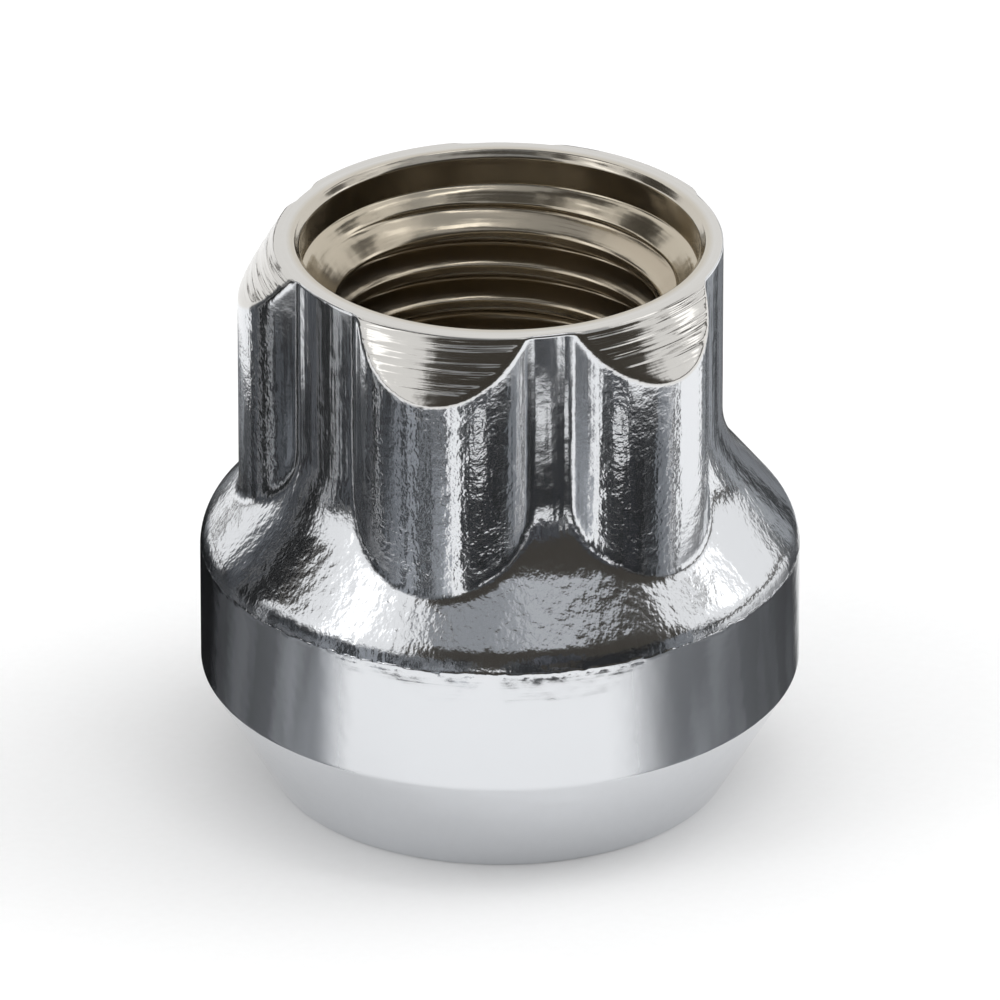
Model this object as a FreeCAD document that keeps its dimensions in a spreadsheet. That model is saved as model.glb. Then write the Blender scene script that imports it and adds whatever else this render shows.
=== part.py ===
"""Locking wheel nut: one forged, turned and plated piece, standing on its seat end with the key end up.

The origin is the centre of the flat seat-end face and +Z runs along the thread axis towards the key end.
The bore is left at its tapping size. All lengths are millimetres and all angles are degrees.
"""

import FreeCAD
import Part
import os
import Sketcher

NODE = "locking_nut"

# Sizes of the nut: the name that the sheet gives each one, its value, and what it is.
SIZES = (
    ("overall_height", 22.3, "seat-end face to key-end face"),
    ("flange_diameter", 23.0, "over the plain band"),
    ("band_height", 5.3, "plain band between the seat cone and the shoulder"),
    ("seat_face_diameter", 17.6, "outer edge of the flat ring at the seat end"),
    ("seat_cone_angle", 60.0, "whole angle of the conical seat"),
    ("shoulder_angle", 39.0, "slope of the shoulder, measured from the axis"),
    ("shoulder_root_round", 4.5, "hollow round between the root cylinder and the shoulder"),
    ("shoulder_edge_round", 1.8, "round between the shoulder and the band"),
    ("root_diameter", 17.0, "bottom of the flutes between the lobes"),
    ("key_diameter", 20.0, "over the lobes"),
    ("lobe_radius", 3.7, "round of each lobe"),
    ("lobe_foot_round", 0.8, "hollow round all along the foot of each lobe"),
    ("second_lobe_angle", 58.0, "from the first lobe, anticlockwise seen from the key end"),
    ("third_lobe_angle", 158.0, "from the first lobe"),
    ("fourth_lobe_angle", 230.0, "from the first lobe"),
    ("fifth_lobe_angle", 288.0, "from the first lobe"),
    ("lead_face_diameter", 17.2, "outer edge of the flat ring at the key end"),
    ("lead_angle", 31.0, "slope of the lead-in on the lobes, measured from the axis"),
    ("tap_drill_diameter", 12.5, "plain bore that the M14 x 1.5 thread is cut in"),
    ("mouth_diameter", 15.2, "straight recess at the key end"),
    ("mouth_depth", 1.3, "depth of the recess at the key end, down to its cone"),
    ("mouth_bevel", 0.2, "bevel at the edge of the recess at the key end"),
    ("mouth_cone_angle", 90.0, "whole angle of the cone from that recess to the bore"),
    ("relief_diameter", 14.8, "straight recess at the seat end"),
    ("relief_depth", 1.4, "depth of the recess at the seat end, down to its cone"),
    ("relief_cone_angle", 90.0, "whole angle of the cone from that recess to the bore"),
    ("seat_edge_round", 0.3, "turned edge between the band and the seat cone"),
)

# The first lobe points to the front, along -Y.
FIRST_LOBE_DIRECTION = -90.0
LOBES = ("first", "second", "third", "fourth", "fifth")

UP = FreeCAD.Vector(0, 0, 1)
TOLERANCE = 1e-5


def make_sheet(doc):
    """Puts every size in a sheet, one row each: its name, its value with that name as alias, and what it is."""
    sheet = doc.addObject("Spreadsheet::Sheet", "Sizes")
    for row, (name, value, meaning) in enumerate(SIZES, start=1):
        sheet.set(f"A{row}", name)
        sheet.set(f"B{row}", str(value))
        sheet.setAlias(f"B{row}", name)
        sheet.set(f"C{row}", meaning)
    doc.recompute()
    return sheet


def half(size):
    """The expression for half of a named size."""
    return f"Sizes.{size} / 2"


def origin_plane(body, role):
    """One of the body's own origin planes, by its role."""
    return next(plane for plane in body.Origin.OriginFeatures if plane.Role == role)


def attached_sketch(body, name, role):
    """A new sketch that lies flat on one of the body's origin planes."""
    sketch = body.newObject("Sketcher::SketchObject", name)
    sketch.AttachmentSupport = (origin_plane(body, role), [""])
    sketch.MapMode = "FlatFace"
    return sketch


def add_named(sketch, constraint, name):
    """Adds a constraint to a sketch under a name of its own."""
    sketch.renameConstraint(sketch.addConstraint(constraint), name)


def outline_sketch(body, name, corners):
    """A closed outline in the XZ plane from its corners, each with expressions for its radius, height and round.

    A corner on the axis has no radius, one at the seat-end face has no height, and a sharp one has no round.
    """
    sketch = attached_sketch(body, name, "XZ_Plane")
    value = [[sketch.evalExpression(text) if text else 0.0 for text in corner] for corner in corners]
    points = [FreeCAD.Vector(radius, height, 0.0) for radius, height, _ in value]
    count = len(points)
    for i in range(count):
        sketch.addGeometry(Part.LineSegment(points[i], points[(i + 1) % count]), False)
    for i in range(count):
        sketch.addConstraint(Sketcher.Constraint("Coincident", i, 2, (i + 1) % count, 1))
        place_corner(sketch, i, "DistanceX", f"Radius{i}", corners[i][0], points[i].x)
        place_corner(sketch, i, "DistanceY", f"Height{i}", corners[i][1], points[i].y)
    for i in range(count):
        if corners[i][2]:
            round_corner(sketch, i, points, value[i][2])
    for i, texts in enumerate(corners):
        for kind, text in zip(("Radius", "Height", "Round"), texts):
            if text:
                sketch.setExpression(f"Constraints.{kind}{i}", text)
    return sketch


def place_corner(sketch, line, kind, name, expression, value):
    """Sets the start of a line at a named distance from the sketch's origin, or on its axis if it has none.

    A sketch knows its origin as point 1 of element -1, its level axis as -1 and its upright axis as -2.
    """
    if expression:
        add_named(sketch, Sketcher.Constraint(kind, -1, 1, line, 1, value), name)
    else:
        axis = -2 if kind == "DistanceX" else -1
        sketch.addConstraint(Sketcher.Constraint("PointOnObject", line, 1, axis))


def round_corner(sketch, corner, points, radius):
    """Rounds a corner with a tangent arc, and keeps the sharp corner as the point that the sizes hold."""
    before = (points[corner - 1] + points[corner]) / 2
    after = (points[corner] + points[(corner + 1) % len(points)]) / 2
    sketch.fillet(corner - 1, corner, before, after, radius, True, True)
    arc = sketch.GeometryCount - 2
    add_named(sketch, Sketcher.Constraint("Radius", arc, radius), f"Round{corner}")


def turned(body, kind, name, sketch):
    """A full turn of a sketch about the thread axis: a Revolution adds and a Groove cuts."""
    feature = body.newObject(f"PartDesign::{kind}", name)
    feature.Profile = sketch
    feature.ReferenceAxis = (sketch, ["V_Axis"])
    feature.Angle = 360.0
    return feature


def make_blank(body):
    """The turned blank without lobes or bore: seat cone, band, shoulder and root cylinder."""
    cone_height = "(Sizes.flange_diameter - Sizes.seat_face_diameter) / 2 / tan(Sizes.seat_cone_angle / 2)"
    band_top = f"{cone_height} + Sizes.band_height"
    shoulder = "(Sizes.flange_diameter - Sizes.root_diameter) / 2 / tan(Sizes.shoulder_angle)"
    corners = (
        (None, None, None),
        (half("seat_face_diameter"), None, None),
        (half("flange_diameter"), cone_height, "Sizes.seat_edge_round"),
        (half("flange_diameter"), band_top, "Sizes.shoulder_edge_round"),
        (half("root_diameter"), f"{band_top} + {shoulder}", "Sizes.shoulder_root_round"),
        (half("root_diameter"), "Sizes.overall_height", None),
        (None, "Sizes.overall_height", None),
    )
    return turned(body, "Revolution", "Blank", outline_sketch(body, "BlankOutline", corners))


def rounded(body, name, base, edges, size):
    """A fillet of a named size on some edges of the feature before it."""
    fillet = body.newObject("PartDesign::Fillet", name)
    fillet.Base = (base, edges)
    fillet.setExpression("Radius", f"Sizes.{size}")
    return fillet


def add_lobe(body, which):
    """One round lobe along the axis, from inside the band to the key-end face, at its own angle.

    Its circle's centre lies on the sketch's level axis, which is turned to the lobe's angle.
    """
    name = which.capitalize()
    sketch = attached_sketch(body, f"{name}LobeOutline", "XY_Plane")
    sketch.AttachmentOffset = FreeCAD.Placement(FreeCAD.Vector(0, 0, 1), FreeCAD.Rotation(UP, 1.0))
    turn = f"{FIRST_LOBE_DIRECTION}" if which == "first" else f"{FIRST_LOBE_DIRECTION} + Sizes.{which}_lobe_angle"
    sketch.setExpression("AttachmentOffset.Rotation.Angle", turn)
    sketch.setExpression("AttachmentOffset.Base.z", "Sizes.band_height")
    distance = "Sizes.key_diameter / 2 - Sizes.lobe_radius"
    centre = FreeCAD.Vector(sketch.evalExpression(distance), 0, 0)
    radius = sketch.evalExpression("Sizes.lobe_radius")
    sketch.addGeometry(Part.Circle(centre, UP, radius), False)
    sketch.addConstraint(Sketcher.Constraint("PointOnObject", 0, 3, -1))
    add_named(sketch, Sketcher.Constraint("DistanceX", -1, 1, 0, 3, centre.x), "Place")
    add_named(sketch, Sketcher.Constraint("Radius", 0, radius), "LobeRadius")
    sketch.setExpression("Constraints.Place", distance)
    sketch.setExpression("Constraints.LobeRadius", "Sizes.lobe_radius")
    pad = body.newObject("PartDesign::Pad", f"{name}Lobe")
    pad.Profile = sketch
    pad.setExpression("Length", "Sizes.overall_height - Sizes.band_height")
    return pad


def is_lobe_face(face, sheet):
    """True for the side of a lobe: a cylinder of the lobe's radius."""
    surface = face.Surface
    return isinstance(surface, Part.Cylinder) and abs(surface.Radius - sheet.lobe_radius) < TOLERANCE


def lobe_foot_edges(shape, sheet):
    """The names of the edges where the side of a lobe meets the root cylinder or the shoulder."""
    names = []
    for number, edge in enumerate(shape.Edges, start=1):
        faces = shape.ancestorsOfType(edge, Part.Face)
        flat = any(isinstance(face.Surface, Part.Plane) for face in faces)
        if not flat and sum(is_lobe_face(face, sheet) for face in faces) == 1:
            names.append(f"Edge{number}")
    return names


def add_lobes(body, sheet):
    """The five uneven lobes of the key pattern, with one hollow round all along their feet."""
    for which in LOBES:
        lobe = add_lobe(body, which)
    body.Document.recompute()
    foot = rounded(body, "LobeFootRound", lobe, lobe_foot_edges(lobe.Shape, sheet), "lobe_foot_round")
    body.Document.recompute()
    return foot


def cut_lead(body):
    """The lead-in cone that trims the top of the lobes down from the flat ring."""
    outside = "Sizes.key_diameter * 0.55"
    corners = (
        (half("lead_face_diameter"), "Sizes.overall_height", None),
        (outside, "Sizes.overall_height", None),
        (
            outside,
            f"Sizes.overall_height - ({outside} - {half('lead_face_diameter')}) / tan(Sizes.lead_angle)",
            None,
        ),
    )
    return turned(body, "Groove", "LeadIn", outline_sketch(body, "LeadInOutline", corners))


def cut_bore(body):
    """The bore at tapping size, with a straight recess and a cone down to the bore at each end."""
    relief_cone = f"({half('relief_diameter')} - {half('tap_drill_diameter')}) / tan(Sizes.relief_cone_angle / 2)"
    mouth_cone = f"({half('mouth_diameter')} - {half('tap_drill_diameter')}) / tan(Sizes.mouth_cone_angle / 2)"
    mouth_floor = "Sizes.overall_height - Sizes.mouth_depth"
    corners = (
        (None, None, None),
        (half("relief_diameter"), None, None),
        (half("relief_diameter"), "Sizes.relief_depth", None),
        (half("tap_drill_diameter"), f"Sizes.relief_depth + {relief_cone}", None),
        (half("tap_drill_diameter"), f"{mouth_floor} - {mouth_cone}", None),
        (half("mouth_diameter"), mouth_floor, None),
        (half("mouth_diameter"), "Sizes.overall_height - Sizes.mouth_bevel", None),
        (f"{half('mouth_diameter')} + Sizes.mouth_bevel", "Sizes.overall_height", None),
        (None, "Sizes.overall_height", None),
    )
    return turned(body, "Groove", "Bore", outline_sketch(body, "BoreOutline", corners))


def cuts_metal(before, after):
    """True when a cut took some metal away."""
    return after.Shape.Volume < before.Shape.Volume - TOLERANCE


def make_nut(doc, sheet):
    """The whole nut as one body."""
    body = doc.addObject("PartDesign::Body", "LockingNut")
    body.Label = NODE
    blank = make_blank(body)
    lobes = add_lobes(body, sheet)
    lead = cut_lead(body)
    bore = cut_bore(body)
    doc.recompute()
    if lobes.Shape.Volume <= blank.Shape.Volume or not cuts_metal(lobes, lead) or not cuts_metal(lead, bore):
        raise RuntimeError("a feature of the nut changed nothing")
    return body


def check(doc, body):
    """Stops the build if any object failed or the nut is not one valid solid."""
    for item in doc.Objects:
        if "Invalid" in item.State or "Error" in item.State:
            raise RuntimeError(f"{item.Label} failed: {item.State}")
    shape = body.Shape
    if shape.isNull() or not shape.isValid() or len(shape.Solids) != 1:
        raise RuntimeError(f"{body.Label} is not one valid solid")


def main():
    doc = FreeCAD.newDocument("LockingWheelNut")
    sheet = make_sheet(doc)
    body = make_nut(doc, sheet)
    check(doc, body)
    os.makedirs("parts", exist_ok=True)
    body.Shape.exportStep(os.path.join("parts", f"{body.Label}.step"))
    box = body.Shape.optimalBoundingBox(False)
    print(f"{body.Label}: {box.XLength:.2f} x {box.YLength:.2f} x {box.ZLength:.2f} mm, {body.Shape.Volume:.0f} mm3")


main()
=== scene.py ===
"""Looks of a locking wheel nut: one forged, turned and plated piece that stands on its seat end.

Run as a script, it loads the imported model, puts one closed surface with the real thread in place of the
plain solid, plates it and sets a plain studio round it. It is laid out as an add-on: each
size and colour that a user may want to change is a property, and each step is an operator. All lengths are
metres.
"""

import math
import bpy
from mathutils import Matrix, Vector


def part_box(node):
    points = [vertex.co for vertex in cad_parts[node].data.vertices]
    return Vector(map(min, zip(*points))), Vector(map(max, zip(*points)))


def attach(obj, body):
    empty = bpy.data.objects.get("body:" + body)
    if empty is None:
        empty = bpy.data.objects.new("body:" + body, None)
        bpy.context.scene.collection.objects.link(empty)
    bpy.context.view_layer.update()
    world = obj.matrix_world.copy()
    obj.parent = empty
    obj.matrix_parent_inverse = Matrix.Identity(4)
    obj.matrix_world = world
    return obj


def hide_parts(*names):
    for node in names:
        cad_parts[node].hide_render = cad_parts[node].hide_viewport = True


bl_info = {
    "name": "Locking wheel nut",
    "version": (1, 0, 0),
    "blender": (4, 5, 0),
    "location": "3D View > Sidebar > Wheel nut",
    "description": "Makes a locking wheel nut with its thread and plating, in a plain studio",
    "category": "Object",
}

import bpy
import numpy as np
from mathutils import Vector

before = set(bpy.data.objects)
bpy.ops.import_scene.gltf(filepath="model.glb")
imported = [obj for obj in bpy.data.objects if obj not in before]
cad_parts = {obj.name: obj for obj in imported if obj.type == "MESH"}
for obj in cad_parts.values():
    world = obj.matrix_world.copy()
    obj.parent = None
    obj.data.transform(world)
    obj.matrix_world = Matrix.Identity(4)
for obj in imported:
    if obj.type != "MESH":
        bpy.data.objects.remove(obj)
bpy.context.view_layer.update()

NODE = "locking_nut"
BODY = "root"
MM = 0.001

NODE_LOW, NODE_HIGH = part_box(NODE)
SEAT_END = NODE_LOW.z
KEY_END = NODE_HIGH.z
FLANGE_RADIUS = (NODE_HIGH.x - NODE_LOW.x) / 2

# The first lobe points along -Y, and the others follow anticlockwise seen from the key end.
FIRST_LOBE = math.radians(-90.0)
FULL_TURN = 2.0 * math.pi
# Half the angle between the flanks of the thread's groove.
THREAD_FLANK = math.radians(30.0)

# The skin's grid: its columns, how many turns are tried to place them, how much closer they stand where a
# lobe's flank meets a flute, over what turn, and how often the search along a ray halves its stretch.
COLUMNS = 300
TRIED_TURNS = 7201
FLANK_CROWD = 2.2
FLANK_SPAN = math.radians(3.2)
HALVINGS = 32

# Corners in the bore are rounded over about this, and nearness to the lead-in's edge falls off over this.
BORE_BLEND = 0.05 * MM
EDGE_SPAN = 0.09 * MM

# How bare the nickel is: on the lead-in and the key-end face, at the lips of the bore, in its recesses, down
# the thread, and how much is added in the thread's groove. Down the thread and in the groove this share also
# darkens the colour towards the darker deep nickel, which is painted shade.
OUTER_BARE = 0.22
LIP_BARE = 0.4
RECESS_BARE = 0.5
DEEP_SHADE_BARE = 0.9
GROOVE_SHADE_BARE = 0.5

# How strong the lathe's lines are, next to those on the lead-in: on the key-end face, on the band and the
# seat, and in the bore.
FACE_LINES = 0.45
BAND_LINES = 0.04
BORE_LINES = 0.12

# How strong the grain of the forging is on the shoulder, in the flutes and on the lobes, what is left of it
# up at the key end and on turned metal, and how strong it is in the bore.
SHOULDER_GRAIN = 0.7
FLUTE_GRAIN = 0.4
LOBE_GRAIN = 1.3
KEY_END_GRAIN = 0.4
TURNED_GRAIN = 0.1
BORE_GRAIN = 0.06

# The ridge below the shoulder lies this far under the band's upper edge and is about this wide, it wavers up
# and down over a width and a height, and the bits that stand up on it are this wide. Round the lead-in's edge
# the ridge has this share of its height.
RIDGE_DROP = 0.42 * MM
RIDGE_WIDTH = 0.06 * MM
WAVER_WIDTH = 0.7 * MM
WAVER_HEIGHT = 0.25 * MM
BURR_WIDTH = 0.4 * MM
EDGE_BURR = 0.1

# The floor's half width and how far each lamp stands from the nut, in metres, the places across and up each
# card's grid, and the width of the streaks painted on the near cards.
FLOOR_REACH = 3.0
LAMP_DISTANCE = 0.75
CARD_COLUMNS = 61
CARD_ROWS = 9
STREAK_WIDTH = 3.0 * MM


def linear(code):
    """An sRGB colour written as #rrggbb, as the linear red, green and blue that the nodes take."""
    parts = [int(code[i : i + 2], 16) / 255.0 for i in (1, 3, 5)]
    return [p / 12.92 if p <= 0.04045 else ((p + 0.055) / 1.055) ** 2.4 for p in parts]


def length(name, description, millimetres):
    """A size in millimetres as a length property."""
    return bpy.props.FloatProperty(
        name=name, description=description, default=millimetres * MM, unit="LENGTH", precision=5
    )


def angle(name, description, degrees):
    """An angle in degrees as a rotation property."""
    return bpy.props.FloatProperty(
        name=name, description=description, default=math.radians(degrees), unit="ROTATION"
    )


def share(name, description, value):
    """A share from 0 to 1 as a property."""
    return bpy.props.FloatProperty(
        name=name, description=description, default=value, min=0.0, max=1.0
    )


def colour(name, description, code):
    """An sRGB hex colour as a colour property."""
    return bpy.props.FloatVectorProperty(
        name=name,
        description=description,
        default=linear(code),
        subtype="COLOR",
        size=3,
        min=0.0,
        max=1.0,
    )


class NutSizes(bpy.types.PropertyGroup):
    """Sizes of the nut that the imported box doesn't give."""

    seat_face_radius: length("Seat face", "Outer edge of the flat ring at the seat end", 8.8)
    seat_slope: angle("Seat slope", "Slope of the conical seat, from the axis", 30.0)
    seat_edge_round: length("Seat edge", "Round between the seat and the band", 0.3)
    band_height: length("Band", "Height of the plain band", 5.3)
    shoulder_slope: angle("Shoulder slope", "Slope of the shoulder, from the axis", 39.0)
    shoulder_edge_round: length("Shoulder edge", "Round between the band and the shoulder", 1.8)
    shoulder_root_round: length("Shoulder root", "Hollow round at the top of the shoulder", 4.5)
    root_radius: length("Flute root", "Radius of the flutes between the lobes", 8.5)
    key_radius: length("Lobe crest", "Radius over the lobes", 10.0)
    lobe_radius: length("Lobe round", "Round of each lobe", 3.7)
    foot_round: length("Lobe foot", "Hollow round along the foot of the lobes", 0.8)
    second_lobe: angle("Second lobe", "Turn from the first lobe", 58.0)
    third_lobe: angle("Third lobe", "Turn from the first lobe", 158.0)
    fourth_lobe: angle("Fourth lobe", "Turn from the first lobe", 230.0)
    fifth_lobe: angle("Fifth lobe", "Turn from the first lobe", 288.0)
    lead_radius: length("Lead-in", "Where the lead-in cone reaches the key-end face", 8.6)
    lead_slope: angle("Lead-in slope", "Slope of the lead-in cone, from the axis", 31.0)
    edge_round: length("Fine edges", "Round that the plating leaves on a turned edge", 0.12)
    lead_edge_round: length("Lead-in edge", "Round between the lead-in and the lobes", 0.5)
    mouth_radius: length("Mouth", "Straight recess at the key end", 7.6)
    mouth_depth: length("Mouth depth", "Depth of that recess", 1.39)
    mouth_step: length("Mouth step", "Width of the flatter ring round the bottom of that recess", 0.18)
    mouth_bevel: length("Mouth bevel", "Bevel at the edge of that recess", 0.25)
    relief_radius: length("Relief", "Straight recess at the seat end", 7.4)
    relief_depth: length("Relief depth", "Depth of that recess", 1.4)
    pitch: length("Pitch", "One turn of the thread", 1.5)
    crest_radius: length("Thread crest", "Inner radius of the thread", 6.19)
    groove_radius: length("Thread groove", "Outer radius of the thread", 7.07)
    crest_depth: length("Thread start", "Depth of a crest at the first lobe", 0.67)


class PlatingLook(bpy.types.PropertyGroup):
    """Colours and surface of the plating."""

    chrome: colour("Chrome", "Colour of the chrome outside", "#dddfe2")
    nickel: colour("Nickel", "Colour of the nickel at the mouth of the bore", "#bdb4a3")
    # The deep nickel is a little darker than the nickel. This is painted shade down the thread and in its
    # groove, over a duller plating.
    shaded_deep_nickel: colour("Deep nickel", "Colour of the thin, dull nickel down the thread", "#b9ae9c")
    chrome_roughness: share("Chrome roughness", "Roughness of the turned and plated faces", 0.1)
    forged_roughness: share("Forged roughness", "Roughness of the lobes, flutes and shoulder", 0.14)
    nickel_roughness: share("Nickel roughness", "Roughness of the thread", 0.24)
    peel_width: length("Orange peel", "Width of the waves in the plating", 0.9)
    peel_height: length("Peel height", "Height of those waves", 0.02)
    grain_width: length("Forged grain", "Width of the grain under the plating", 0.16)
    grain_height: length("Grain height", "Height of that grain", 0.013)
    dent_width: length("Dents", "Width of the shallow dents of the forging", 0.45)
    dent_height: length("Dent height", "Depth of those dents", 0.011)
    draw_width: length("Draw lines", "Spacing of the upright lines that the die left", 0.25)
    draw_height: length("Draw height", "Height of those lines", 0.012)
    line_width: length("Turning lines", "Spacing of the lines from the lathe", 0.36)
    line_height: length("Line height", "Height of those lines", 0.14)
    burr_height: length("Burr", "Height of the ridge along the edges that the lathe cut", 0.03)


class StudioLook(bpy.types.PropertyGroup):
    """The floor, the lights and the camera."""

    paper: colour("Paper", "Colour of the seamless paper under the nut", "#fafafa")
    cloth: colour("Cloth", "Colour of the dark cloth that the plating reflects", "#3e3a34")
    canvas: colour("Canvas", "Colour of the pale canvas overhead", "#bdbfc2")
    drape: colour("Drape", "Colour of the grey canvas over the cloth", "#9a9da1")
    light: share("Studio light", "Level of the light from all round", 0.9)
    camera_turn: angle("Camera turn", "From the first lobe to the camera, anticlockwise", 16.1)
    camera_rise: angle("Camera rise", "From the key-end face up to the camera", 26.0)
    camera_distance: length("Camera distance", "From the mouth of the nut", 656.0)
    frame_width: length("Frame width", "Width of the picture at the nut", 38.0)


# Cards close round the nut, which its upright faces mirror: turns from the camera and the width of the
# thinned sides in degrees, heights and distances in millimetres, the colours at the first turn and the last,
# and how strong the streaks are.
NEAR_CARDS = {
    "low_far_left": ((-140, -76), 8, (0, 10), (13.4, 15.4), ("#020203", "#1c1d20"), 0.1),
    "low_left": ((-98, -34), 12, (0, 10), (13, 15), ("#2e2f33", "#dcdee1"), 0.3),
    "low_right": ((24, 120), 20, (0, 10), (13, 15), ("#d0d2d5", "#1c1d20"), 0.2),
    "low_back": ((150, 212), 14, (0, 10), (13, 15), ("#2a2b2e", "#c0c2c5"), 0.2),
    "far_left": ((-182, -100), 6, (3, 9), (24, 25), ("#b0b2b5", "#64676a"), 0.7),
    "left": ((-108, -88), 6, (3, 28), (24, 24), ("#606368", "#383a3e"), 0.9),
    "left_dark": ((-94, -76), 6, (3, 28), (23, 23), ("#0c0d0e", "#141517"), 0.7),
    "left_front": ((-82, -5), 6, (3, 16), (24, 25), ("#4a4d52", "#94979b"), 0.9),
    "front": ((0, 13), 3, (3, 15.5), (24, 25), ("#606366", "#404246"), 0.7),
    "front_low": ((8, 26), 2, (3, 10.8), (23.8, 24.3), ("#202124", "#2c2e32"), 0.6),
    "front_high": ((8, 26), 2, (12.2, 17), (23.8, 24.3), ("#505258", "#404246"), 0.6),
    "front_dark": ((20, 40), 3, (3, 14), (23.5, 24.5), ("#202124", "#303236"), 0.7),
    "right": ((34, 64), 6, (3, 14), (24, 25), ("#3c3f42", "#74777b"), 0.8),
    "right_dark": ((60, 72), 6, (3, 14), (23.5, 24.5), ("#303236", "#404246"), 0.6),
    "right_back": ((108, 152), 6, (3, 15), (24, 25), ("#9a9da0", "#484a4e"), 0.8),
    "far_right": ((146, 182), 6, (3, 17), (24, 25), ("#202124", "#84868a"), 0.6),
}

# Cards farther off, which the sloping faces and the bore mirror: turns from the camera and the width of the
# thinned sides in degrees, heights and distances in metres, and the fabric.
FAR_CARDS = {
    "cloth_front": ((-38, 77), 6, (0.0, 1.5), (0.85, 0.42), "cloth"),
    "cloth_left": ((-112, -34), 8, (0.75, 1.2), (0.58, 0.3), "cloth"),
    "cloth_side": ((-124, -88), 6, (0.36, 0.9), (0.8, 0.8), "cloth"),
    "cloth_right": ((88, 124), 6, (0.45, 0.9), (0.8, 0.8), "cloth"),
    "canvas_front": ((-44, 30), 20, (0.6, 0.95), (0.62, 0.55), "drape"),
    "canvas_right": ((0, 80), 14, (0.6, 0.95), (0.6, 0.53), "canvas"),
    "cloth_round": ((60, 215), 6, (0.0, 0.1), (0.9, 0.9), "cloth"),
    "cloth_low": ((205, 327), 6, (0.0, 0.05), (0.9, 0.9), "cloth"),
    "canvas_roof": ((0, 360), 6, (1.65, 1.75), (0.85, 0.0), "canvas"),
}

# Lamps: turn from the camera and rise in degrees, width and height in metres, power in watts, and whether the
# nut mirrors the lamp.
LAMPS = {
    "softbox_left": (-74, 42, 0.5, 0.6, 0.65, False),
    "softbox_right": (100, 42, 0.6, 0.6, 1.4, False),
    "strip_left": (-66, 40, 0.14, 0.6, 0.22, True),
    "strip_right": (100, 36, 0.14, 0.6, 0.22, True),
    "strip_top": (60, 72, 0.1, 0.3, 0.25, True),
}


def wrapped(value, period):
    """A value less whole periods, from minus half a period to half a period."""
    return (value + period / 2) % period - period / 2


def lobe_turns(sizes):
    """Turns of the five lobes from the first."""
    return 0.0, sizes.second_lobe, sizes.third_lobe, sizes.fourth_lobe, sizes.fifth_lobe


def band_levels(sizes):
    """Heights of the band's lower and upper edge, where the seat has reached the flange at its slope."""
    low = SEAT_END + (FLANGE_RADIUS - sizes.seat_face_radius) / math.tan(sizes.seat_slope)
    return low, low + sizes.band_height


def soft_max(a, b, blend):
    """The larger of two values, with the corner between them rounded over about the blend."""
    return (a + b + np.sqrt((a - b) ** 2 + blend**2)) / 2


def soft_min(a, b, blend):
    """The smaller of two values, with the corner between them rounded over about the blend."""
    return (a + b - np.sqrt((a - b) ** 2 + blend**2)) / 2


def spread(low, high, step):
    """Heights from low up to just short of high, a step apart or a little less."""
    count = max(1, math.ceil((high - low) / step))
    return np.linspace(low, high, count, endpoint=False)


class Points:
    """Points in the nut's own rings: how far from the axis, at what turn and how high."""

    def __init__(self, radius, turn, height):
        self.radius = radius
        self.turn = turn
        self.height = height


def cone_field(points, radius, height, slope):
    """A cone's outside: distance from it and the direction in which that grows, outward, around and up.

    The cone passes through a radius at a height and its normal rises by the slope, so the distance is the
    radial part times the slope's cosine plus the upright part times its sine.
    """
    out, up = math.cos(slope), math.sin(slope)
    distance = out * (points.radius - radius) + up * (points.height - height)
    zero = np.zeros_like(distance)
    return distance, np.stack([zero + out, zero, zero + up])


def lobe_field(points, sizes):
    """The lobes: distance from the nearest one's round and the direction in which it grows.

    Each lobe is a circle whose centre lies short of the lobe crest by its own radius, so the distance is the
    way to that centre less the radius.
    """
    turns = lobe_turns(sizes)
    beside = np.stack([wrapped(points.turn - FIRST_LOBE - turn, FULL_TURN) for turn in turns])
    nearest = np.take_along_axis(beside, np.abs(beside).argmin(0)[None], 0)[0]
    centre = sizes.key_radius - sizes.lobe_radius
    out = points.radius - centre * np.cos(nearest)
    around = centre * np.sin(nearest) + np.zeros_like(out)
    way = np.hypot(out, around)
    return way - sizes.lobe_radius, np.stack([out / way, around / way, np.zeros_like(way)])


def joined(first, second, radius):
    """Two shapes as one, with a hollow round of the radius between them.

    A ball of that radius that touches both has its centre at the same depth outside each. Where a point lies
    between the ball and the two shapes, its distance is the radius less the way to that centre, which follows
    from the two distances and the cosine between their directions. Elsewhere it is the lesser of the two.
    """
    (a, along_a), (b, along_b) = first, second
    # The clip keeps the sine above nothing where both directions are the same or opposite.
    cosine = np.clip((along_a * along_b).sum(0), -0.999, 0.9999)
    sine_squared = 1.0 - cosine**2
    u, v = radius - a, radius - b
    way = np.sqrt(np.maximum(u**2 + v**2 - 2 * u * v * cosine, 1e-18) / sine_squared)
    between = (u > v * cosine) & (v > u * cosine)
    distance = np.where(between, radius - way, np.minimum(a, b))
    share_a = np.where(between, (u - v * cosine) / (sine_squared * way), a <= b)
    share_b = np.where(between, (v - u * cosine) / (sine_squared * way), a > b)
    return distance, share_a * along_a + share_b * along_b


def trimmed(first, second, radius):
    """What two shapes have in common, with a round of the radius at its edge: their outsides, joined."""
    distance, along = joined((-first[0], -first[1]), (-second[0], -second[1]), radius)
    return -distance, -along


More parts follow.
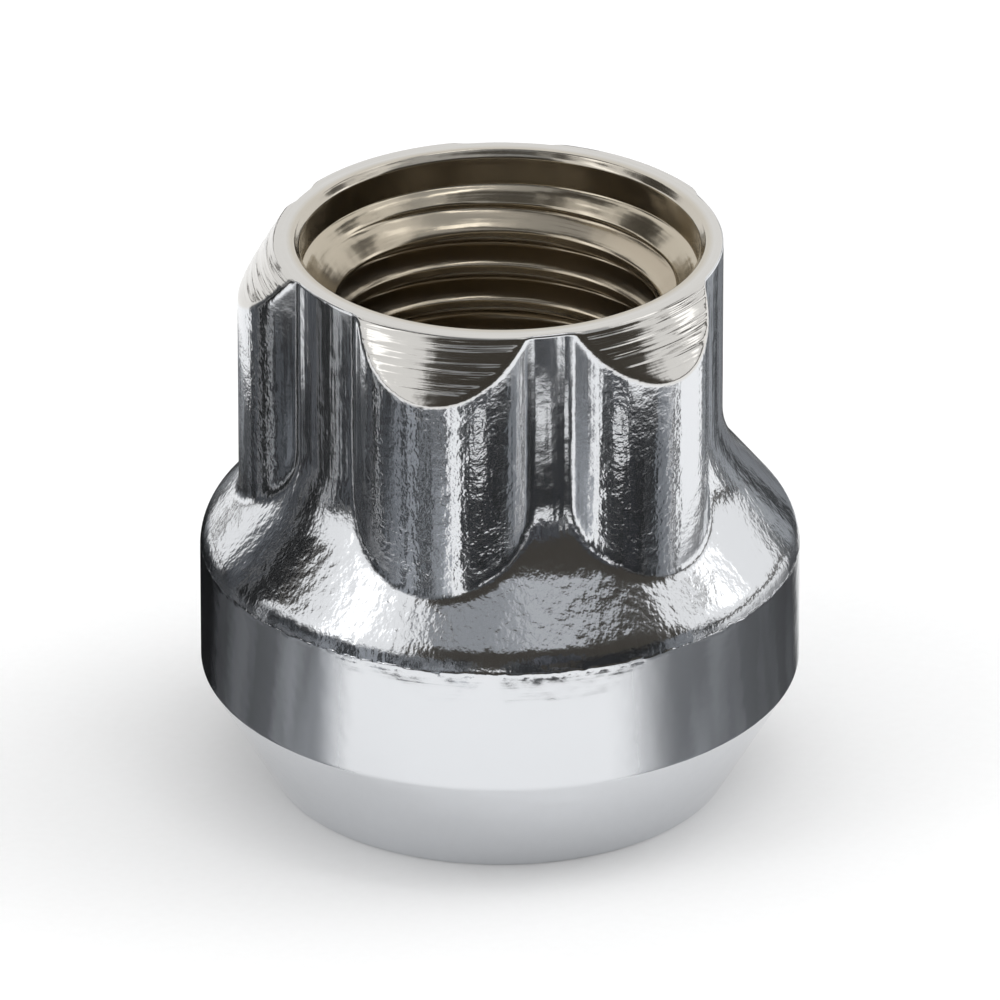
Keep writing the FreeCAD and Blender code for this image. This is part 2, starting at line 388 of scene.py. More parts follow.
def nut_field(points, sizes):
    """Distance from the nut's outside without its bore, nearness to the lead-in's edge, and depth of cut.

    The edge is where the forged blank and the lead-in cone meet, so the way to it is taken as the larger of
    the two distances, and the second result falls from 1 to 0 as the bell curve of that way. The third is how
    far the point lies under the skin of the blank, which the lathe cut away there.
    """
    seat_top, band_top = band_levels(sizes)
    band = cone_field(points, FLANGE_RADIUS, band_top, 0.0)
    shoulder = cone_field(points, FLANGE_RADIUS, band_top, sizes.shoulder_slope)
    root = cone_field(points, sizes.root_radius, band_top, 0.0)
    seat = cone_field(points, FLANGE_RADIUS, seat_top, -sizes.seat_slope)
    lead = cone_field(points, sizes.lead_radius, KEY_END, sizes.lead_slope)
    top = cone_field(points, 0.0, KEY_END, math.pi / 2)
    bottom = cone_field(points, 0.0, SEAT_END, -math.pi / 2)
    blank = trimmed(band, shoulder, sizes.shoulder_edge_round)
    blank = joined(root, blank, sizes.shoulder_root_round)
    blank = joined(lobe_field(points, sizes), blank, sizes.foot_round)
    way = np.maximum(np.abs(blank[0]), np.abs(lead[0]))
    edge = np.exp(-((way / EDGE_SPAN) ** 2))
    cut = -blank[0]
    blank = trimmed(blank, lead, sizes.lead_edge_round)
    blank = trimmed(blank, seat, sizes.seat_edge_round)
    blank = trimmed(blank, top, sizes.edge_round)
    return trimmed(blank, bottom, sizes.edge_round)[0], edge, cut


def outside_rows(sizes):
    """Where the rays to the outside start, radius and height, and how far each leans up, row by row.

    The rows run from the seat-end face round its edge, up the outside and round the edge of the key-end face.
    They stand closest where a round or the foot of a lobe crosses them, and the two fans go round the edges.
    """
    seat_top, band_top = band_levels(sizes)
    root_top = band_top + (FLANGE_RADIUS - sizes.root_radius) / math.tan(sizes.shoulder_slope)
    hollow = sizes.shoulder_root_round * math.tan(sizes.shoulder_slope / 2)
    lead_foot = KEY_END - (sizes.key_radius - sizes.lead_radius) / math.tan(sizes.lead_slope)
    low_pivot = (sizes.seat_face_radius - 0.5 * MM, SEAT_END + 0.5 * MM)
    high_pivot = (sizes.root_radius - 0.35 * MM, KEY_END - 0.35 * MM)
    heights = np.concatenate(
        [
            spread(low_pivot[1], seat_top - 0.3 * MM, 2.0 * MM),
            spread(seat_top - 0.3 * MM, seat_top + 0.3 * MM, 0.06 * MM),
            spread(seat_top + 0.3 * MM, band_top - 0.8 * MM, 1.6 * MM),
            spread(band_top - 0.8 * MM, band_top + 0.8 * MM, 0.13 * MM),
            spread(band_top + 0.8 * MM, root_top + hollow, 0.095 * MM),
            spread(root_top + hollow, lead_foot - 0.3 * MM, 1.1 * MM),
            spread(lead_foot - 0.3 * MM, high_pivot[1], 0.08 * MM),
        ]
    )
    low_fan = np.radians([-90, -75, -63, -56, -52, -49, -46, -43, -40, -36, -30, -15])
    high_fan = np.radians([0, 12, 20, 26, 31, 36, 41, 46, 51, 56, 61, 67, 76, 90])
    radius = np.concatenate(
        [low_fan * 0 + low_pivot[0], heights * 0 + low_pivot[0], high_fan * 0 + high_pivot[0]]
    )
    height = np.concatenate([low_fan * 0 + low_pivot[1], heights, high_fan * 0 + high_pivot[1]])
    lean = np.concatenate([low_fan, heights * 0, high_fan])
    return radius[:, None], height[:, None], lean[:, None]


def outside(turn, sizes):
    """Where each ray leaves the nut: radius, height, nearness to the lead-in's edge and depth of cut.

    They come as rows by turns. The way along a ray is found by halving a stretch that starts inside the nut
    and ends outside it.
    """
    start_radius, start_height, lean = outside_rows(sizes)
    inside = np.zeros((len(lean), len(turn)))
    beyond = np.full_like(inside, FLANGE_RADIUS - sizes.crest_radius)
    for _ in range(HALVINGS):
        way = (inside + beyond) / 2
        points = Points(start_radius + way * np.cos(lean), turn, start_height + way * np.sin(lean))
        distance, edge, cut = nut_field(points, sizes)
        inside = np.where(distance < 0.0, way, inside)
        beyond = np.where(distance < 0.0, beyond, way)
    return start_radius + inside * np.cos(lean), start_height + inside * np.sin(lean), edge, cut


def bore_radius(height, turn, sizes):
    """Radius of the bore at a height and a turn, and that of the plain bore without its thread.

    The plain bore is the crest radius, widened by a recess, a cone and a bevel at its ends. At the key end a
    flatter ring, which falls half as much as it runs inward, lies between recess and cone. The groove of the
    thread is a wedge with 60 degrees between its flanks, cut off flat at the crest and at its bottom, that
    climbs one pitch in one turn anticlockwise. The bore is the wider of the two.
    """
    depth = KEY_END - height
    fine = BORE_BLEND
    step = sizes.mouth_radius - 2.0 * (depth - sizes.mouth_depth)
    cone = sizes.mouth_radius - sizes.mouth_step / 2 + sizes.mouth_depth - depth
    mouth = soft_min(sizes.mouth_radius, soft_max(step, cone, fine), fine)
    mouth = soft_max(mouth, sizes.mouth_radius + sizes.mouth_bevel - depth, fine)
    rise = height - SEAT_END
    relief = soft_min(sizes.relief_radius, sizes.relief_radius + sizes.relief_depth - rise, fine)
    climb = sizes.pitch * (turn - FIRST_LOBE) / FULL_TURN - sizes.crest_depth
    beside = np.abs(wrapped(height - KEY_END - climb, sizes.pitch))
    flank = sizes.crest_radius + (beside - sizes.pitch / 8) / math.tan(THREAD_FLANK)
    groove = soft_min(flank, sizes.groove_radius, fine)
    plain = soft_max(soft_max(mouth, relief, fine), sizes.crest_radius, fine)
    return soft_max(plain, groove, fine), plain


def inside_rows(sizes):
    """Heights of the rows down the bore, closest where the key end shows the thread."""
    deep = sizes.mouth_depth - 0.06 * MM
    depths = np.concatenate(
        [
            spread(0.04 * MM, sizes.mouth_bevel - 0.08 * MM, 0.06 * MM),
            spread(sizes.mouth_bevel - 0.08 * MM, sizes.mouth_bevel + 0.1 * MM, 0.03 * MM),
            spread(sizes.mouth_bevel + 0.1 * MM, deep, 0.3 * MM),
            spread(deep, deep + 0.32 * MM, 0.035 * MM),
            spread(deep + 0.32 * MM, 4 * sizes.pitch, 0.08 * MM),
            spread(4 * sizes.pitch, KEY_END - 3 * sizes.pitch, 0.17 * MM),
            spread(KEY_END - 3 * sizes.pitch, KEY_END - sizes.relief_depth + 0.1 * MM, 0.11 * MM),
            spread(KEY_END - sizes.relief_depth + 0.1 * MM, KEY_END - 0.1 * MM, 0.4 * MM),
        ]
    )
    return KEY_END - depths[:, None]


def bore(turn, sizes):
    """Radius and height of the bore, rows by turns, from the key-end face down to the seat-end face.

    The third result is how bare the nickel is, which grows from the lips to the recesses, down the thread and
    into its groove. Down the thread and in the groove it also darkens the colour, as painted shade.
    """
    heights = inside_rows(sizes)
    radius, plain = bore_radius(heights, turn, sizes)
    end_way = np.minimum(KEY_END - heights, heights - SEAT_END)
    bare_and_shade = LIP_BARE + (RECESS_BARE - LIP_BARE) * smooth_step(0.2 * MM, 0.4 * MM, end_way)
    bare_and_shade = bare_and_shade + (DEEP_SHADE_BARE - RECESS_BARE) * smooth_step(1.0 * MM, 4.0 * MM, end_way)
    # The groove's share darkens the nickel's colour towards its bottom, which is painted shade.
    bare_and_shade = np.minimum(bare_and_shade + GROOVE_SHADE_BARE * smooth_step(0.1 * MM, 0.6 * MM, radius - plain), 1.0)
    height = heights + np.zeros_like(radius)
    # The lip as radius and depth, and the rim at the seat end as radius and height, each edge finely broken.
    lip = sizes.mouth_radius + sizes.mouth_bevel
    top = [(lip + 0.08 * MM, 0.0), (lip + 0.02 * MM, 0.0), (lip - 0.015 * MM, 0.008 * MM)]
    rim = sizes.relief_radius
    foot = [(rim, 0.06 * MM), (rim + 0.02 * MM, 0.015 * MM), (rim + 0.06 * MM, 0.0), (rim + 0.5 * MM, 0.0)]
    one = np.ones_like(turn)
    radius = np.vstack([*[r * one for r, _ in top], radius, *[r * one for r, _ in foot]])
    height = np.vstack(
        [*[(KEY_END - d) * one for _, d in top], height, *[(SEAT_END + h) * one for _, h in foot]]
    )
    bare_and_shade = np.vstack([*[LIP_BARE * one for _ in top], bare_and_shade, *[LIP_BARE * one for _ in foot]])
    return radius, height, bare_and_shade


def column_turns(sizes):
    """Turns of the columns, closest where a lobe's flank meets a flute.

    The flank meets the flute where the lobe's circle crosses the flute's, which the cosine rule gives. The
    columns' density has a bump at each of those turns, and they stand where its running total passes equal
    steps.
    """
    centre = sizes.key_radius - sizes.lobe_radius
    cosine = (sizes.root_radius**2 + centre**2 - sizes.lobe_radius**2) / (2 * sizes.root_radius * centre)
    half = math.acos(cosine)
    flanks = np.array([FIRST_LOBE + turn + side * half for turn in lobe_turns(sizes) for side in (-1, 1)])
    tried = np.linspace(0.0, FULL_TURN, TRIED_TURNS)
    beside = wrapped(tried[:, None] - flanks, FULL_TURN)
    density = 1.0 + FLANK_CROWD * np.exp(-((beside / FLANK_SPAN) ** 2)).sum(1)
    total = np.concatenate([[0.0], np.cumsum((density[1:] + density[:-1]) / 2)])
    return np.interp(np.linspace(0.0, total[-1], COLUMNS, endpoint=False), total, tried)


def closed_mesh(name, places):
    """A mesh from a grid of places that closes on itself both ways, as a ring's skin does.

    Each face joins a place, the next one round, the next one round in the next row and the next row's own, so
    the faces look outward when the columns run anticlockwise and the rows run up the outside.
    """
    rows, columns, _ = places.shape
    index = np.arange(rows * columns).reshape(rows, columns)
    right = np.roll(index, -1, 1)
    corners = np.stack([index, right, np.roll(right, -1, 0), np.roll(index, -1, 0)], -1)
    mesh = bpy.data.meshes.new(name)
    mesh.vertices.add(rows * columns)
    mesh.vertices.foreach_set("co", places.astype(np.float32).ravel())
    mesh.loops.add(corners.size)
    mesh.loops.foreach_set("vertex_index", corners.astype(np.int32).ravel())
    mesh.polygons.add(rows * columns)
    mesh.polygons.foreach_set("loop_start", np.arange(0, corners.size, 4, dtype=np.int32))
    mesh.polygons.foreach_set("use_smooth", np.ones(rows * columns, dtype=bool))
    mesh.update(calc_edges=True)
    if mesh.validate():
        raise RuntimeError(f"{name} has faces that had to be mended")
    return mesh


def add_attribute(mesh, name, values):
    """Keeps one number for each vertex of a mesh, for its material to read."""
    attribute = mesh.attributes.new(name, "FLOAT", "POINT")
    attribute.data.foreach_set("value", values.astype(np.float32).ravel())


def smooth_step(low, high, value):
    """0 up to low, 1 from high on, and an even curve between."""
    part = np.clip((value - low) / (high - low), 0.0, 1.0)
    return part * part * (3.0 - 2.0 * part)


def finish_shares(radius, height, cut, sizes):
    """How far a place outside is forged metal, and its shares of lathe lines, bare nickel and grain.

    Turned are the lead-in, the key-end face and all that lies below the shoulder, and the rest is as forged.
    The lathe's lines are deep on the lead-in, fade out before its edge, and are fainter on the key-end face,
    the band and the seat. The chrome is thin on the key-end face and the lead-in. The grain of the forging is
    strongest low on the lobes, softer on the shoulder and in the flutes, and nearly gone on turned metal.
    """
    lead = (
        math.cos(sizes.lead_slope) * (radius - sizes.lead_radius)
        + math.sin(sizes.lead_slope) * (height - KEY_END)
    )
    on_lead = smooth_step(-0.08 * MM, -0.02 * MM, lead)
    on_face = smooth_step(-0.05 * MM, -0.01 * MM, height - KEY_END)
    band_top = band_levels(sizes)[1]
    below = 1.0 - smooth_step(-0.6 * MM, -0.1 * MM, height - band_top)
    turned = np.maximum(np.maximum(on_lead, below), on_face)
    deep_cut = smooth_step(0.02 * MM, 0.25 * MM, cut)
    lines = np.maximum(np.maximum(on_lead * deep_cut, FACE_LINES * on_face), BAND_LINES * below)
    clear = (
        math.cos(sizes.shoulder_slope) * (radius - FLANGE_RADIUS)
        + math.sin(sizes.shoulder_slope) * (height - band_top)
    )
    off_shoulder = smooth_step(0.2 * MM, 1.2 * MM, clear)
    on_lobe = off_shoulder * smooth_step(0.2 * MM, 1.0 * MM, radius - sizes.root_radius)
    grain = SHOULDER_GRAIN + (FLUTE_GRAIN - SHOULDER_GRAIN) * off_shoulder
    grain = grain + (LOBE_GRAIN - FLUTE_GRAIN) * on_lobe
    up = np.clip((height - band_top) / (KEY_END - band_top), 0.0, 1.0)
    grain = grain * (1.0 - (1.0 - KEY_END_GRAIN) * up**2) * (1.0 - (1.0 - TURNED_GRAIN) * turned)
    return 1.0 - turned, lines, OUTER_BARE * np.maximum(on_face, on_lead), grain


class WHEELNUT_OT_make_nut(bpy.types.Operator):
    """Makes the nut's surface with its thread and shows it in place of the plain solid"""

    bl_idname = "wheelnut.make_nut"
    bl_label = "Make the nut"

    def execute(self, context):
        sizes = context.scene.nut_sizes
        turn = column_turns(sizes)
        out_radius, out_height, edge, cut = outside(turn, sizes)
        in_radius, in_height, in_bare_and_shade = bore(turn, sizes)
        radius = np.vstack([out_radius, in_radius])
        height = np.vstack([out_height, in_height])
        places = np.stack([radius * np.cos(turn), radius * np.sin(turn), height], -1)
        mesh = closed_mesh("nut_skin", places)
        forged, lines, bare_and_shade, grain = finish_shares(out_radius, out_height, cut, sizes)
        inner = np.ones_like(in_radius)
        # The bore's share also carries painted shade down the thread and in the groove.
        add_attribute(mesh, "bare_nickel_and_shade", np.vstack([bare_and_shade, in_bare_and_shade]))
        add_attribute(mesh, "forged", np.vstack([forged, 0.0 * inner]))
        add_attribute(mesh, "grain", np.vstack([grain, BORE_GRAIN * inner]))
        add_attribute(mesh, "burr", np.vstack([EDGE_BURR * edge, 0.0 * inner]))
        add_attribute(mesh, "lathe_lines", np.vstack([lines, BORE_LINES * inner]))
        nut = bpy.data.objects.new("nut_skin", mesh)
        context.scene.collection.objects.link(nut)
        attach(nut, BODY)
        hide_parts(NODE)
        print(f"nut_skin: {2 * len(mesh.polygons)} triangles")
        return {"FINISHED"}


def add_node(tree, kind, inputs=None, **settings):
    """Adds a node to a tree: its properties and plain input values from settings, then its other inputs.

    A setting whose name is an input of the node sets that input, and any other sets a property. The other
    inputs are given by name or number, and each takes an output socket, which is linked, or a plain value.
    """
    node = tree.nodes.new(kind)
    for name, value in settings.items():
        if hasattr(node, name):
            setattr(node, name, value)
    for name, value in settings.items():
        if not hasattr(node, name):
            node.inputs[name.replace("_", " ")].default_value = value
    for name, value in (inputs or {}).items():
        if isinstance(value, bpy.types.NodeSocket):
            tree.links.new(value, node.inputs[name])
        else:
            node.inputs[name].default_value = value
    return node


def new_material(name):
    """An empty node material and its node tree."""
    material = bpy.data.materials.new(name)
    material.use_nodes = True
    material.node_tree.nodes.clear()
    return material, material.node_tree


def relief(tree, place, width, height, stretch=(1.0, 1.0, 1.0), detail=2.0):
    """Bumps and hollows of a width and a height, in metres, as noise of the place less its mean.

    A stretch below 1 draws them out that way.
    """
    drawn = add_node(tree, "ShaderNodeVectorMath", {0: place, 1: stretch}, operation="MULTIPLY")
    noise = add_node(
        tree, "ShaderNodeTexNoise", {"Vector": drawn.outputs["Vector"]}, Scale=1 / width, Detail=detail
    )
    return add_node(
        tree,
        "ShaderNodeMapRange",
        {"Value": noise.outputs["Fac"]},
        clamp=False,
        To_Min=-height / 2,
        To_Max=height / 2,
    ).outputs["Result"]


def ridge_share(tree, place, height, burr, ridge_level):
    """How far a place is on a ridge: round the lead-in by an attribute, below the shoulder by its height.

    There it is one over one plus the square of the way to the ridge, counted in ridge widths, and the ridge
    wavers up and down.
    """
    waver = relief(tree, place, WAVER_WIDTH, WAVER_HEIGHT)
    uneven = add_node(tree, "ShaderNodeMath", {0: height, 1: waver}).outputs["Value"]
    way = add_node(
        tree,
        "ShaderNodeMapRange",
        {"Value": uneven},
        clamp=False,
        From_Min=ridge_level,
        From_Max=ridge_level + RIDGE_WIDTH,
    ).outputs["Result"]
    square = add_node(tree, "ShaderNodeMath", {0: way, 1: way, 2: 1.0}, operation="MULTIPLY_ADD")
    bell = add_node(tree, "ShaderNodeMath", {0: 1.0, 1: square.outputs["Value"]}, operation="DIVIDE")
    return add_node(tree, "ShaderNodeMath", {0: bell.outputs["Value"], 1: burr}).outputs["Value"]


def plating_material(look, ridge_level):
    """Chrome plated on forged and turned steel, with the nickel under it bare in the bore.

    Chrome is a cool mirror. Its plating goes over orange peel, which makes mirrored edges waver; over the
    grain and the dents of the forging, which break them up; over the upright lines that the die drew on the
    lobes; and over the lathe's lines on the lead-in and the faces, which draw them out round the nut. A
    ragged ridge stands where the lathe's cuts meet the forged faces. Little chrome reaches into the bore, so
    the nickel there is warm, and down the thread it is thin and dull. Down the thread and in the groove its
    colour is also darkened, as painted shade.
    """
    material, tree = new_material("chrome_plated_forged_steel")
    place = add_node(tree, "ShaderNodeTexCoord").outputs["Object"]
    bare_and_shade, forged, coarse, lathe, burr = (
        add_node(tree, "ShaderNodeAttribute", attribute_name=name).outputs["Fac"]
        for name in ("bare_nickel_and_shade", "forged", "grain", "lathe_lines", "burr")
    )
    apart = add_node(tree, "ShaderNodeSeparateXYZ", {"Vector": place})
    # The lathe's lines are noise of the radius and the height, hardly changed by the way round.
    flat = add_node(tree, "ShaderNodeCombineXYZ", {"X": apart.outputs["X"], "Y": apart.outputs["Y"]})
    out = add_node(tree, "ShaderNodeVectorMath", {0: flat.outputs["Vector"]}, operation="LENGTH")
    ring = add_node(tree, "ShaderNodeCombineXYZ", {"X": out.outputs["Value"], "Z": apart.outputs["Z"]})
    little = add_node(tree, "ShaderNodeVectorMath", {0: place}, operation="SCALE", Scale=0.03)
    along = add_node(
        tree,
        "ShaderNodeVectorMath",
        {0: ring.outputs["Vector"], 1: little.outputs["Vector"]},
        operation="ADD",
    )
    # The bits on the ridges go from nothing up to twice the burr's height.
    bits = relief(tree, place, BURR_WIDTH, 2.0 * look.burr_height)
    bits = add_node(tree, "ShaderNodeMath", {0: bits, 1: look.burr_height}).outputs["Value"]
    upright = (1.0, 1.0, 0.06)
    # Each layer of the surface and its share: orange peel, grain, dents, draw lines, lathe lines and ridges.
    layers = (
        (relief(tree, place, look.peel_width, look.peel_height, detail=1.0), 1.0),
        (relief(tree, place, look.grain_width, look.grain_height, detail=1.0), coarse),
        (relief(tree, place, look.dent_width, look.dent_height, detail=0.0), coarse),
        (relief(tree, place, look.draw_width, look.draw_height, upright, detail=1.0), forged),
        (relief(tree, along.outputs["Vector"], look.line_width, look.line_height), lathe),
        (bits, ridge_share(tree, place, apart.outputs["Z"], burr, ridge_level)),
    )
    height = 0.0
    for layer, part in layers:
        height = add_node(
            tree, "ShaderNodeMath", {0: layer, 1: part, 2: height}, operation="MULTIPLY_ADD"
        ).outputs["Value"]
    bumps = add_node(tree, "ShaderNodeBump", {"Height": height}, Distance=1.0)
    # The ramp runs from chrome to nickel to the darker deep nickel. Its darker end is painted shade down the
    # thread and in its groove.
    metal = add_node(tree, "ShaderNodeValToRGB", {"Fac": bare_and_shade})
    ramp = metal.color_ramp.elements
    ramp.new(0.5)
    for element, colour_value in zip(ramp, (look.chrome, look.nickel, look.shaded_deep_nickel)):
        element.color = (*colour_value, 1.0)
    outer = add_node(
        tree,
        "ShaderNodeMapRange",
        {"Value": forged},
        To_Min=look.chrome_roughness,
        To_Max=look.forged_roughness,
    )
    rough = add_node(
        tree,
        "ShaderNodeMapRange",
        {"Value": bare_and_shade, "To Min": outer.outputs["Result"]},
        To_Max=look.nickel_roughness,
    )
    shader = add_node(
        tree,
        "ShaderNodeBsdfPrincipled",
        {
            "Base Color": metal.outputs["Color"],
            "Roughness": rough.outputs["Result"],
            "Normal": bumps.outputs["Normal"],
        },
        Metallic=1.0,
    )
    add_node(tree, "ShaderNodeOutputMaterial", {"Surface": shader.outputs["BSDF"]})
    return material


class WHEELNUT_OT_plate_nut(bpy.types.Operator):
    """Gives the nut its plating"""

    bl_idname = "wheelnut.plate_nut"
    bl_label = "Plate the nut"

    def execute(self, context):
        ridge_level = band_levels(context.scene.nut_sizes)[1] - RIDGE_DROP
        material = plating_material(context.scene.nut_plating, ridge_level)
        for name in ("nut_skin", NODE):
            mesh = bpy.data.objects[name].data
            mesh.materials.clear()
            mesh.materials.append(material)
        return {"FINISHED"}


def plain_material(name, colour_value, roughness, grain, fades=False):
    """A matte stage material whose colour varies faintly at the grain's size, as paper and cloth do."""
    material, tree = new_material(name)
    place = add_node(tree, "ShaderNodeTexCoord").outputs["Object"]
    noise = add_node(tree, "ShaderNodeTexNoise", {"Vector": place}, Scale=1 / grain, Detail=2.0)
    faint = add_node(
        tree, "ShaderNodeMapRange", {"Value": noise.outputs["Fac"]}, To_Min=0.98, To_Max=1.02
    ).outputs["Result"]
    tint = add_node(tree, "ShaderNodeVectorMath", {0: colour_value, "Scale": faint}, operation="SCALE")
    inputs = {"Base Color": tint.outputs["Vector"]}
    if fades:
        inputs["Alpha"] = add_node(tree, "ShaderNodeAttribute", attribute_name="cover").outputs["Fac"]
    shader = add_node(tree, "ShaderNodeBsdfPrincipled", inputs, Roughness=roughness)
    add_node(tree, "ShaderNodeOutputMaterial", {"Surface": shader.outputs["BSDF"]})
    return material


def streaked_material(name, first, last, strength):
    """Matte card painted from one grey to another along its turn, with upright streaks.

    The noise hardly leaves 0.42 to 0.58, so the streaks' strength is spread over that. The Mix node's inputs
    6 and 7 are its two colours, and its output 2 is the mixed one.
    """
    material, tree = new_material(name)
    place = add_node(tree, "ShaderNodeTexCoord").outputs["Object"]
    drawn = add_node(tree, "ShaderNodeVectorMath", {0: place, 1: (1.0, 1.0, 0.12)}, operation="MULTIPLY")
    noise = add_node(
        tree, "ShaderNodeTexNoise", {"Vector": drawn.outputs["Vector"]}, Scale=1 / STREAK_WIDTH, Detail=2.0
    )
    streak = add_node(
        tree,
        "ShaderNodeMapRange",
        {"Value": noise.outputs["Fac"]},
        From_Min=0.42,
        From_Max=0.58,
        To_Min=1.0 - strength,
        To_Max=1.0 + strength,
    ).outputs["Result"]
    along, cover = (
        add_node(tree, "ShaderNodeAttribute", attribute_name=name).outputs["Fac"]
        for name in ("along", "cover")
    )
    blend = add_node(
        tree, "ShaderNodeMix", {"Factor": along, 6: (*first, 1.0), 7: (*last, 1.0)}, data_type="RGBA"
    ).outputs[2]
    tint = add_node(tree, "ShaderNodeVectorMath", {0: blend, "Scale": streak}, operation="SCALE")
    shader = add_node(
        tree,
        "ShaderNodeBsdfPrincipled",
        {"Base Color": tint.outputs["Vector"], "Alpha": cover},
        Roughness=0.9,
    )
    add_node(tree, "ShaderNodeOutputMaterial", {"Surface": shader.outputs["BSDF"]})
    return material


def add_card(name, across, thin, up, distance, material):
    """A card round the nut: part of a cone between two turns and two heights.

    Each place is the distance times the direction of its turn, at its height, and the distance changes evenly
    with the height. Heights and distances are metres, and the turns are degrees from the camera,
    anticlockwise seen from above. The card thins out to nothing over the last degrees of its sides and
    towards its top, and only what mirrors sees it.
    """
    ahead = FIRST_LOBE + bpy.context.scene.nut_studio.camera_turn
    turns = ahead + np.radians(np.linspace(*across, CARD_COLUMNS))
    turn, part = np.meshgrid(turns, np.linspace(0.0, 1.0, CARD_ROWS))
    out = distance[0] + (distance[1] - distance[0]) * part
    height = up[0] + (up[1] - up[0]) * part
    places = np.stack([out * np.cos(turn), out * np.sin(turn), height], -1)
    index = np.arange(CARD_ROWS * CARD_COLUMNS).reshape(CARD_ROWS, CARD_COLUMNS)
    corners = np.stack([index[:-1, :-1], index[1:, :-1], index[1:, 1:], index[:-1, 1:]], -1)
    mesh = bpy.data.meshes.new(name)
    mesh.from_pydata(places.reshape(-1, 3).tolist(), [], corners.reshape(-1, 4).tolist())
    along = np.linspace(0.0, 1.0, CARD_COLUMNS)
    edge = thin / (across[1] - across[0])
    cover = smooth_step(0.0, edge, along) * smooth_step(0.0, edge, 1.0 - along)
    add_attribute(mesh, "along", np.tile(along, CARD_ROWS))
    add_attribute(mesh, "cover", cover * smooth_step(0.0, 0.2, 1.0 - part))
    mesh.materials.append(material)
    card = bpy.data.objects.new(name, mesh)
    bpy.context.scene.collection.objects.link(card)
    for ray in ("camera", "diffuse", "transmission", "volume_scatter", "shadow"):
        setattr(card, f"visible_{ray}", False)


def add_near_cards():
    """Cards close round the nut, which its upright faces mirror as light and dark bands."""
    for name, (across, thin, up, distance, codes, strength) in NEAR_CARDS.items():
        material = streaked_material(f"painted_card_{name}", *map(linear, codes), strength)
        heights, distances = ([value * MM for value in pair] for pair in (up, distance))
        add_card(f"card_{name}", across, thin, heights, distances, material)


def add_lamp(name, turn, rise, width, tall, power, mirrored):
    """A softbox that faces the middle of the nut from a turn and a rise, and that metal may mirror or not."""
    data = bpy.data.lights.new(name, "AREA")
    data.shape = "RECTANGLE"
    data.size = width
    data.size_y = tall
    data.energy = power
    lamp = bpy.data.objects.new(name, data)
    bpy.context.scene.collection.objects.link(lamp)
    a, e = math.radians(turn), math.radians(rise)
    back = Vector((math.cos(e) * math.cos(a), math.cos(e) * math.sin(a), math.sin(e)))
    middle = Vector((0.0, 0.0, (SEAT_END + KEY_END) / 2))
    lamp.location = middle + LAMP_DISTANCE * back
    lamp.rotation_euler = back.to_track_quat("Z", "Y").to_euler()
    lamp.visible_glossy = mirrored


def set_world(light):
    """White for the camera and for what metal mirrors, and the studio light's level for all else."""
    world = bpy.data.worlds.new("studio")
    bpy.context.scene.world = world
    world.use_nodes = True
    tree = world.node_tree
    tree.nodes.clear()
    rays = add_node(tree, "ShaderNodeLightPath").outputs
    seen = rays["Is Camera Ray"]
    for ray in ("Is Glossy Ray", "Is Transmission Ray"):
        seen = add_node(tree, "ShaderNodeMath", {0: seen, 1: rays[ray]}, operation="MAXIMUM").outputs["Value"]
    level = add_node(tree, "ShaderNodeMapRange", {"Value": seen}, To_Min=light, To_Max=1.0)
    shader = add_node(
        tree, "ShaderNodeBackground", {"Strength": level.outputs["Result"]}, Color=(1.0, 1.0, 1.0, 1.0)
    )
    add_node(tree, "ShaderNodeOutputWorld", {"Surface": shader.outputs["Background"]})


def add_camera(studio):
    """The camera at the photograph's viewing angle and distance, with a lens that fills the picture."""
    turn = FIRST_LOBE + studio.camera_turn
    rise = studio.camera_rise
    back = Vector((math.cos(rise) * math.cos(turn), math.cos(rise) * math.sin(turn), math.sin(rise)))
    place = Vector((0.0, 0.0, KEY_END)) + studio.camera_distance * back
    middle = Vector((0.0, 0.0, (SEAT_END + KEY_END) / 2))
    data = bpy.data.cameras.new("camera")
    data.sensor_width = 36.0
    data.lens = data.sensor_width * studio.camera_distance / studio.frame_width
    data.clip_start = 0.05
    data.clip_end = 20.0
    camera = bpy.data.objects.new("camera", data)
    bpy.context.scene.collection.objects.link(camera)
    camera.location = place
    camera.rotation_euler = (place - middle).to_track_quat("Z", "Y").to_euler()
    bpy.context.scene.camera = camera


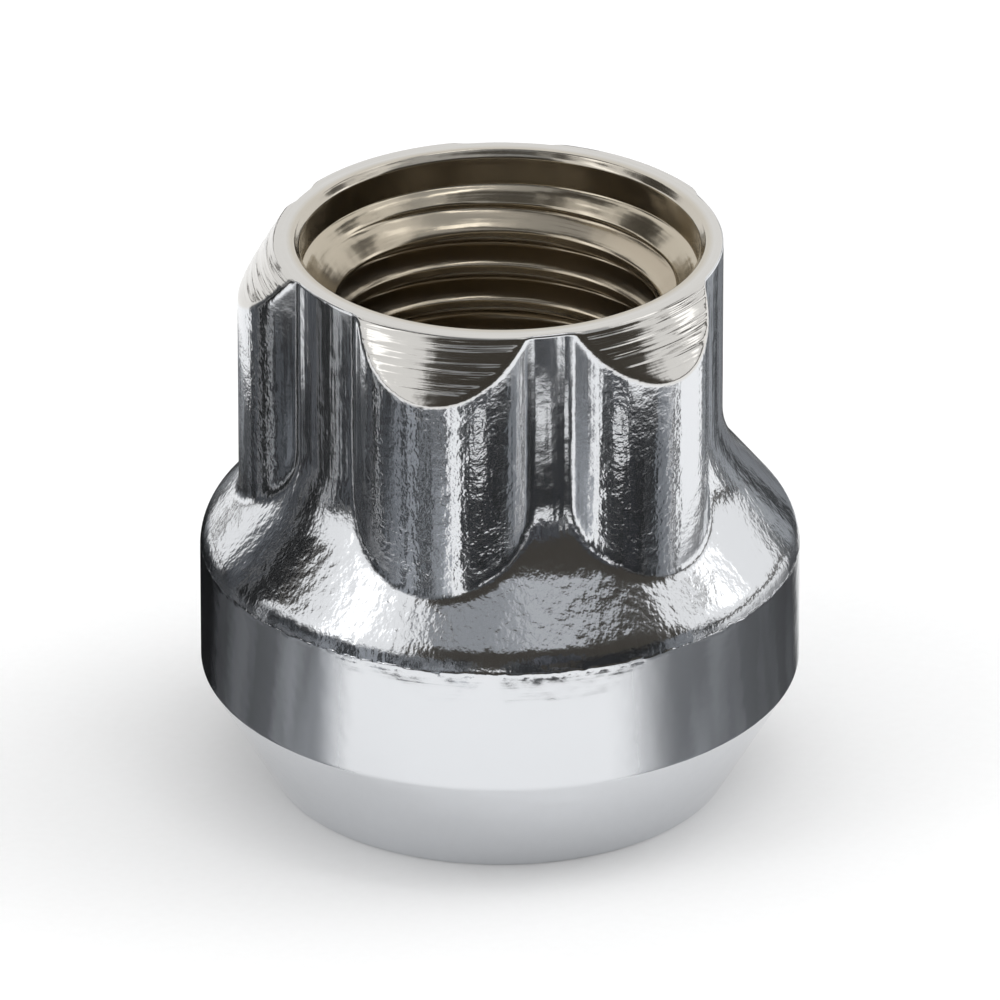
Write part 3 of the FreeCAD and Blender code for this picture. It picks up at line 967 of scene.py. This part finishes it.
class WHEELNUT_OT_set_stage(bpy.types.Operator):
    """Sets the paper floor, the dark cloths, the softboxes and the camera"""

    bl_idname = "wheelnut.set_stage"
    bl_label = "Set the stage"

    def execute(self, context):
        studio = context.scene.nut_studio
        paper = plain_material("white_seamless_paper", studio.paper, 0.9, 0.4 * MM)
        corners = [(-1, -1), (1, -1), (1, 1), (-1, 1)]
        mesh = bpy.data.meshes.new("floor")
        mesh.from_pydata(
            [(x * FLOOR_REACH, y * FLOOR_REACH, SEAT_END) for x, y in corners], [], [(0, 1, 2, 3)]
        )
        mesh.materials.append(paper)
        floor = bpy.data.objects.new("floor", mesh)
        context.scene.collection.objects.link(floor)
        fabrics = {
            "cloth": plain_material("black_cotton_cloth", studio.cloth, 1.0, 1.0 * MM, fades=True),
            "drape": plain_material("grey_canvas", studio.drape, 1.0, 5.0 * MM, fades=True),
            "canvas": plain_material("pale_canvas", studio.canvas, 1.0, 5.0 * MM, fades=True),
        }
        for name, (across, thin, up, distance, fabric) in FAR_CARDS.items():
            add_card(name, across, thin, up, distance, fabrics[fabric])
        add_near_cards()
        ahead = math.degrees(FIRST_LOBE + studio.camera_turn)
        for name, (turn, rise, width, tall, power, mirrored) in LAMPS.items():
            add_lamp(name, ahead + turn, rise, width, tall, power, mirrored)
        set_world(studio.light)
        add_camera(studio)
        context.scene.view_settings.view_transform = "Standard"
        return {"FINISHED"}


class WHEELNUT_PT_panel(bpy.types.Panel):
    """Lists the steps that make the nut, with its sizes and colours"""

    bl_label = "Locking wheel nut"
    bl_idname = "WHEELNUT_PT_panel"
    bl_space_type = "VIEW_3D"
    bl_region_type = "UI"
    bl_category = "Wheel nut"

    def draw(self, context):
        for step in OPERATORS:
            self.layout.operator(step.bl_idname)
        for name, group in GROUPS.items():
            box = self.layout.box()
            for prop in group.__annotations__:
                box.prop(getattr(context.scene, name), prop)


GROUPS = {"nut_sizes": NutSizes, "nut_plating": PlatingLook, "nut_studio": StudioLook}
OPERATORS = (WHEELNUT_OT_make_nut, WHEELNUT_OT_plate_nut, WHEELNUT_OT_set_stage)


def register():
    for group in (*GROUPS.values(), *OPERATORS, WHEELNUT_PT_panel):
        bpy.utils.register_class(group)
    for name, group in GROUPS.items():
        setattr(bpy.types.Scene, name, bpy.props.PointerProperty(type=group))


def unregister():
    for name in GROUPS:
        delattr(bpy.types.Scene, name)
    for group in (WHEELNUT_PT_panel, *reversed(OPERATORS), *GROUPS.values()):
        bpy.utils.unregister_class(group)


def main():
    register()
    bpy.ops.wheelnut.make_nut()
    bpy.ops.wheelnut.plate_nut()
    bpy.ops.wheelnut.set_stage()


if __name__ == "__main__":
    main()
